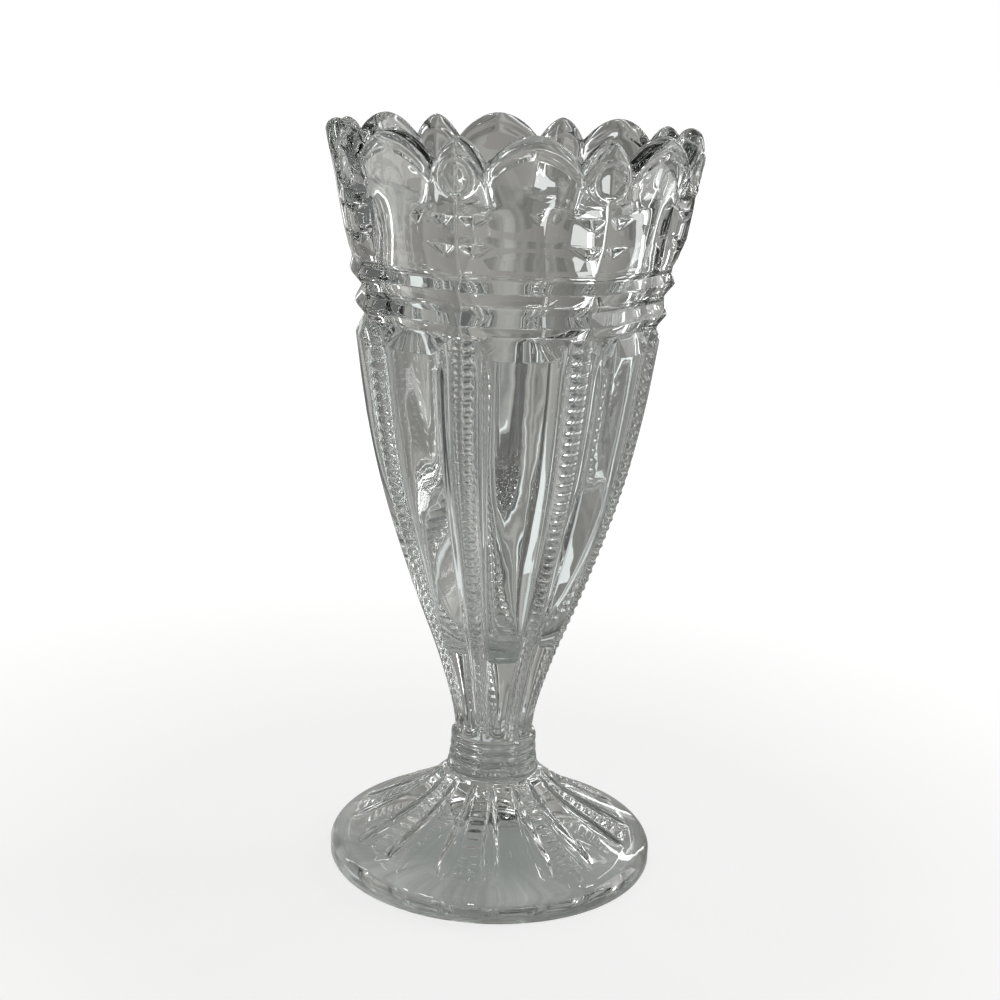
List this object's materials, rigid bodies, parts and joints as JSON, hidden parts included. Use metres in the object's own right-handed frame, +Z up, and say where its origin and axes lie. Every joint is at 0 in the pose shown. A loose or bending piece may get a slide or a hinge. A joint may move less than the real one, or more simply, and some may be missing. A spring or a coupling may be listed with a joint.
{
  "type": "footed flower vase",
  "caption": "Footed clear glass vase: round hollow bowl with notched corner ribs, ridged collar and scalloped rim, on a ringed neck and a spreading round foot.",
  "frame": {"origin": "centre of the foot's resting face, on the surface that the vase stands on", "axes": "+Z up along the vase's axis, out of the mouth; the middles of bowl faces point along +X, -X, +Y and -Y"},
  "size_m": [0.0956, 0.0956, 0.2],
  "materials": {
    "clear_glass": "fire-polished pressed glass, clear with a slight grey cast"
  },
  "bodies": {
    "root": {"bowl": "clear_glass", "ring_collar": "clear_glass", "foot": "clear_glass"}
  },
  "joints": []
}
